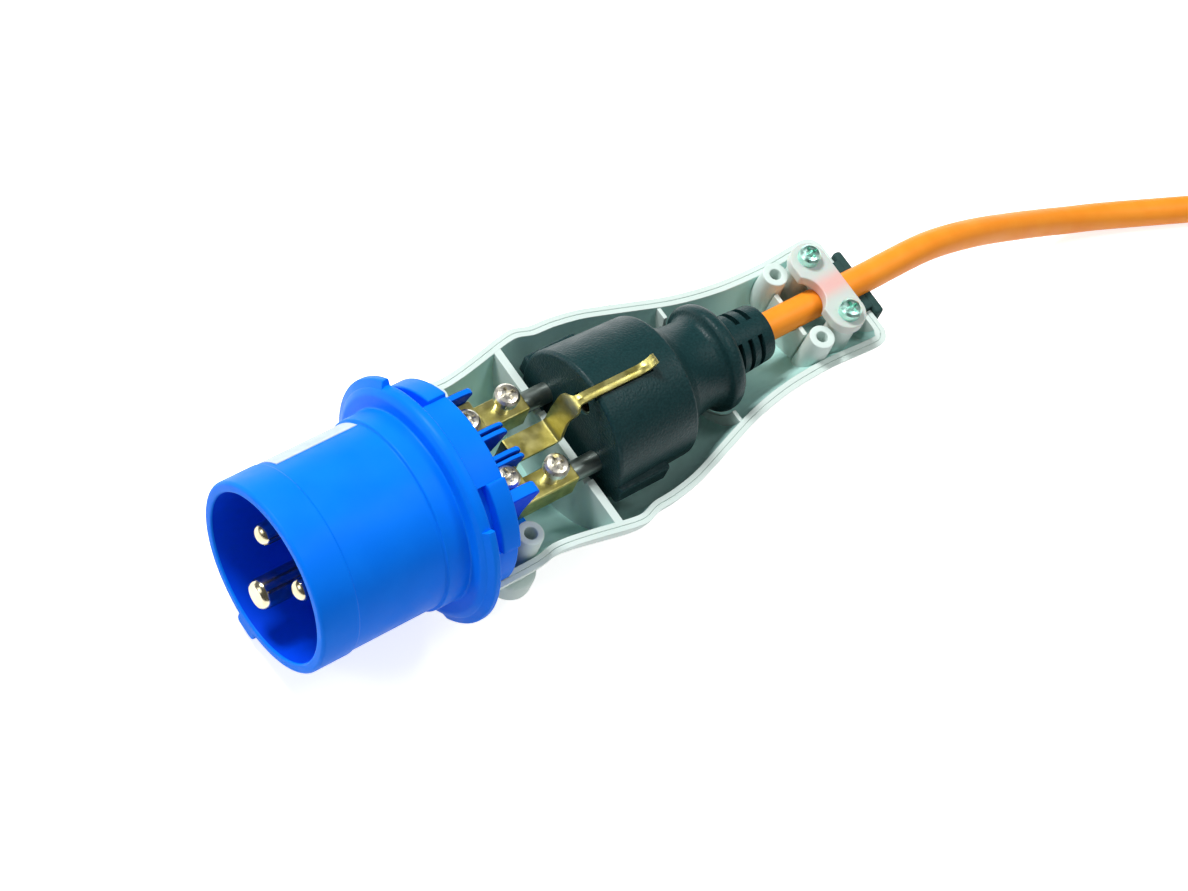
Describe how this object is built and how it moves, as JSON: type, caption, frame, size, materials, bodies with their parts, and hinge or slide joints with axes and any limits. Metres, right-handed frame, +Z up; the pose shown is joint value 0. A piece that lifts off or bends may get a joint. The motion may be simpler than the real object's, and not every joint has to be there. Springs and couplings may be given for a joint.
{
  "type": "plug adapter",
  "caption": "Opened plug adapter: a blue industrial plug with a grey half housing that holds an earthed mains plug, terminal bars, earth strip, cord clamp and orange cord.",
  "frame": {"origin": "centre of the adapter's footprint without its cord, on the surface that it lies on", "axes": "+X from the pin end to the cord, +Z up"},
  "size_m": [0.5382, 0.0634, 0.054],
  "materials": {
    "blue_plastic": "satin",
    "nickel": "polished",
    "brass": "satin",
    "screw_steel": "polished",
    "label": "matte",
    "grey_plastic": "satin",
    "black_rubber": "matte",
    "black_plastic": "matte",
    "milky_plastic": "satin",
    "zinc": "bright",
    "orange_cord": "satin",
    "tie_fabric": "matte"
  },
  "bodies": {
    "root": {"plug_body": "blue_plastic", "line_pin": "nickel", "neutral_pin": "nickel", "earth_pin": "nickel", "line_terminal_bar": "brass", "neutral_terminal_bar": "brass", "front_terminal_screws": "screw_steel", "rear_terminal_screws": "screw_steel", "earth_strip": "brass", "rating_label": "label", "lower_housing": "grey_plastic", "rear_seal": "black_rubber", "cord_clamp": "milky_plastic", "clamp_screws": "zinc", "inner_plug_body": "black_rubber", "inner_plug_line_pin": "nickel", "inner_plug_neutral_pin": "nickel", "inner_plug_earth_clips": "nickel", "inner_plug_earth_socket": "nickel", "cord_lead": "orange_cord", "cord_hank": "orange_cord", "cord_tail": "orange_cord", "cord_tie": "tie_fabric", "socket_body": "black_rubber", "socket_insert": "black_plastic", "socket_contacts": "brass", "socket_earth_clips": "nickel"}
  },
  "joints": []
}
